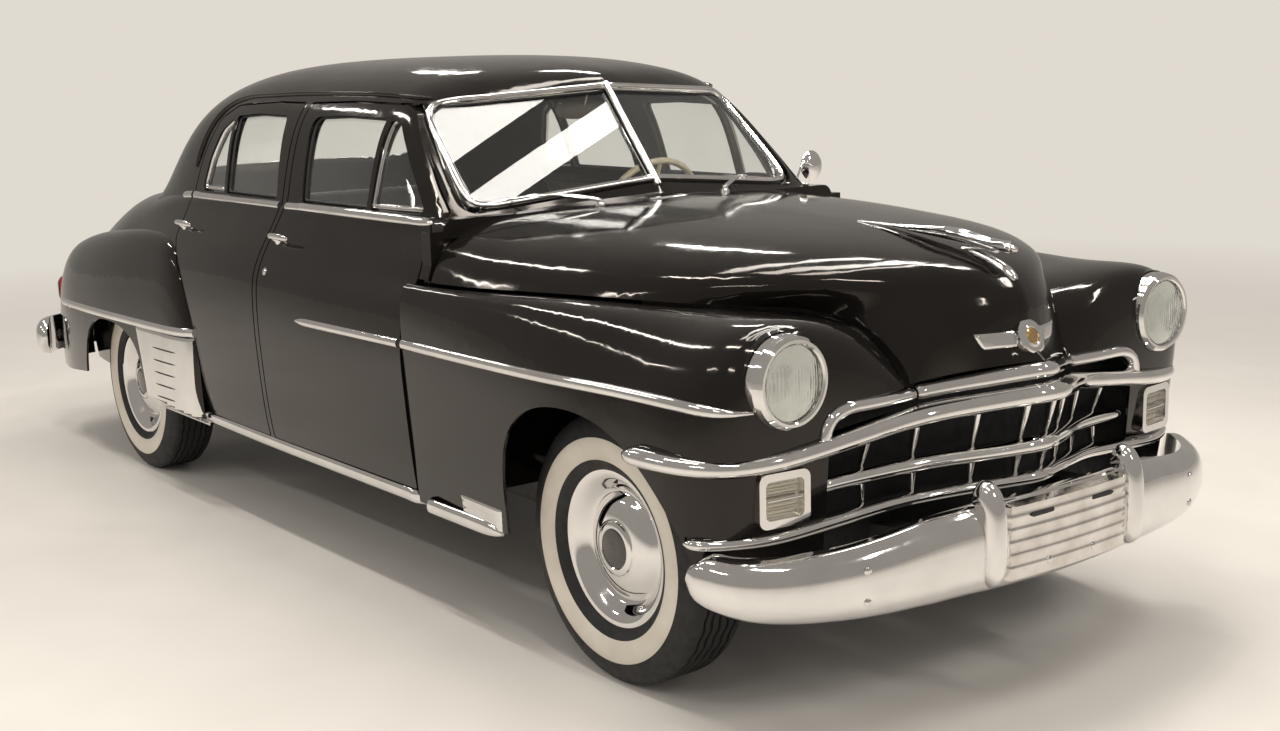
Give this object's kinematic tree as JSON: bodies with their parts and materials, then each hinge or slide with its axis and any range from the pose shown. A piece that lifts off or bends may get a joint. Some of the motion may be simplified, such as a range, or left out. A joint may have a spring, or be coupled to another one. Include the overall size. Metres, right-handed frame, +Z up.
{
  "type": "four-door sedan car",
  "caption": "Four-door sedan of the early 1950s with rounded fenders, split windshield, chrome grille and bumpers, opening doors, hood and trunk, turning wheels and steering.",
  "frame": {"origin": "centre of the bounding box on the ground", "axes": "+X forward, +Y to the car's left, +Z up"},
  "size_m": [5.292, 1.9288, 1.645],
  "materials": {
    "paint": "gloss",
    "trim_chrome": "polished",
    "window_glass": "clear",
    "lamp_glass": "fluted",
    "red_lens": "gloss",
    "tyre_rubber": "matte with a pale sidewall band",
    "wheel_chrome": "polished",
    "chassis_paint": "satin",
    "iron": "rough",
    "seat_cloth": "woven",
    "dash_paint": "satin",
    "wheel_rim_resin": "gloss",
    "dark_panel": "matte"
  },
  "bodies": {
    "car_body": {"body_shell": "paint", "front_fender_left": "paint", "front_fender_right": "paint", "rear_fender_left": "paint", "rear_fender_right": "paint", "windshield_glass": "window_glass", "rear_window": "window_glass", "grille": "trim_chrome", "grille_arch": "trim_chrome", "headlamp_rims": "trim_chrome", "parking_lamp_rims": "trim_chrome", "front_bumper": "trim_chrome", "rear_bumper": "trim_chrome", "headlamp_bowls": "trim_chrome", "headlamp_lenses": "lamp_glass", "parking_lamp_lenses": "lamp_glass", "tail_lamps": "red_lens", "radiator_panel": "dark_panel", "chassis_frame": "chassis_paint", "propshaft": "chassis_paint", "rear_axle": "chassis_paint", "rear_springs": "chassis_paint", "front_suspension": "chassis_paint", "fuel_tank": "chassis_paint", "steering_column": "chassis_paint", "engine_block": "iron", "exhaust_pipe": "iron", "front_seat": "seat_cloth", "rear_seat": "seat_cloth", "dashboard": "dash_paint"},
    "hood": {"hood": "paint"},
    "trunk_lid": {"trunk_lid": "paint"},
    "door_front_left": {"door_front_left": "paint", "glass_front_left": "window_glass"},
    "door_front_right": {"door_front_right": "paint", "glass_front_right": "window_glass"},
    "door_rear_left": {"door_rear_left": "paint", "glass_rear_left": "window_glass"},
    "door_rear_right": {"door_rear_right": "paint", "glass_rear_right": "window_glass"},
    "steering_wheel": {"steering_wheel": "wheel_rim_resin"},
    "knuckle_left": {"knuckle_left": "iron"},
    "knuckle_right": {"knuckle_right": "iron"},
    "wheel_front_left": {"wheel_front_left": "wheel_chrome", "tyre_front_left": "tyre_rubber"},
    "wheel_front_right": {"wheel_front_right": "wheel_chrome", "tyre_front_right": "tyre_rubber"},
    "wheel_rear_left": {"wheel_rear_left": "wheel_chrome", "tyre_rear_left": "tyre_rubber"},
    "wheel_rear_right": {"wheel_rear_right": "wheel_chrome", "tyre_rear_right": "tyre_rubber"}
  },
  "joints": [
    {"name": "hood_hinge", "type": "hinge", "parent": "car_body", "child": "hood", "pos_m": [1.023, 0, 1.206], "axis": [0, -1, 0], "range_deg": [0, 45]},
    {"name": "trunk_hinge", "type": "hinge", "parent": "car_body", "child": "trunk_lid", "pos_m": [-1.6835, 0, 1.122], "axis": [0, 1, 0], "range_deg": [0, 60]},
    {"name": "door_front_left_hinge", "type": "hinge", "parent": "car_body", "child": "door_front_left", "pos_m": [0.93, 0.918, 0.75], "axis": [0, 0, -1], "range_deg": [0, 65]},
    {"name": "door_front_right_hinge", "type": "hinge", "parent": "car_body", "child": "door_front_right", "pos_m": [0.93, -0.918, 0.75], "axis": [0, 0, 1], "range_deg": [0, 65]},
    {"name": "door_rear_left_hinge", "type": "hinge", "parent": "car_body", "child": "door_rear_left", "pos_m": [-0.055, 0.93, 0.75], "axis": [0, 0, -1], "range_deg": [0, 65]},
    {"name": "door_rear_right_hinge", "type": "hinge", "parent": "car_body", "child": "door_rear_right", "pos_m": [-0.055, -0.93, 0.75], "axis": [0, 0, 1], "range_deg": [0, 65]},
    {"name": "steering_wheel_turn", "type": "hinge", "parent": "car_body", "child": "steering_wheel", "pos_m": [0.453, 0.385, 1.062], "axis": [-0.931, 0, 0.3651], "range_deg": [-540, 540]},
    {"name": "knuckle_left_turn", "type": "hinge", "parent": "car_body", "child": "knuckle_left", "pos_m": [1.783, 0.662, 0.363], "axis": [0, 0, 1], "range_deg": [-30, 30]},
    {"name": "knuckle_right_turn", "type": "hinge", "parent": "car_body", "child": "knuckle_right", "pos_m": [1.783, -0.662, 0.363], "axis": [0, 0, 1], "range_deg": [-30, 30]},
    {"name": "wheel_front_left_spin", "type": "hinge", "parent": "knuckle_left", "child": "wheel_front_left", "pos_m": [1.783, 0.715, 0.363], "axis": [0, 1, 0], "continuous": true},
    {"name": "wheel_front_right_spin", "type": "hinge", "parent": "knuckle_right", "child": "wheel_front_right", "pos_m": [1.783, -0.715, 0.363], "axis": [0, 1, 0], "continuous": true},
    {"name": "wheel_rear_left_spin", "type": "hinge", "parent": "car_body", "child": "wheel_rear_left", "pos_m": [-1.405, 0.7565, 0.363], "axis": [0, 1, 0], "continuous": true},
    {"name": "wheel_rear_right_spin", "type": "hinge", "parent": "car_body", "child": "wheel_rear_right", "pos_m": [-1.405, -0.7565, 0.363], "axis": [0, 1, 0], "continuous": true}
  ],
  "couplings": [
    {"joint": "knuckle_left_turn", "follows": "steering_wheel_turn", "ratio": 0.055556},
    {"joint": "knuckle_right_turn", "follows": "steering_wheel_turn", "ratio": 0.055556}
  ]
}
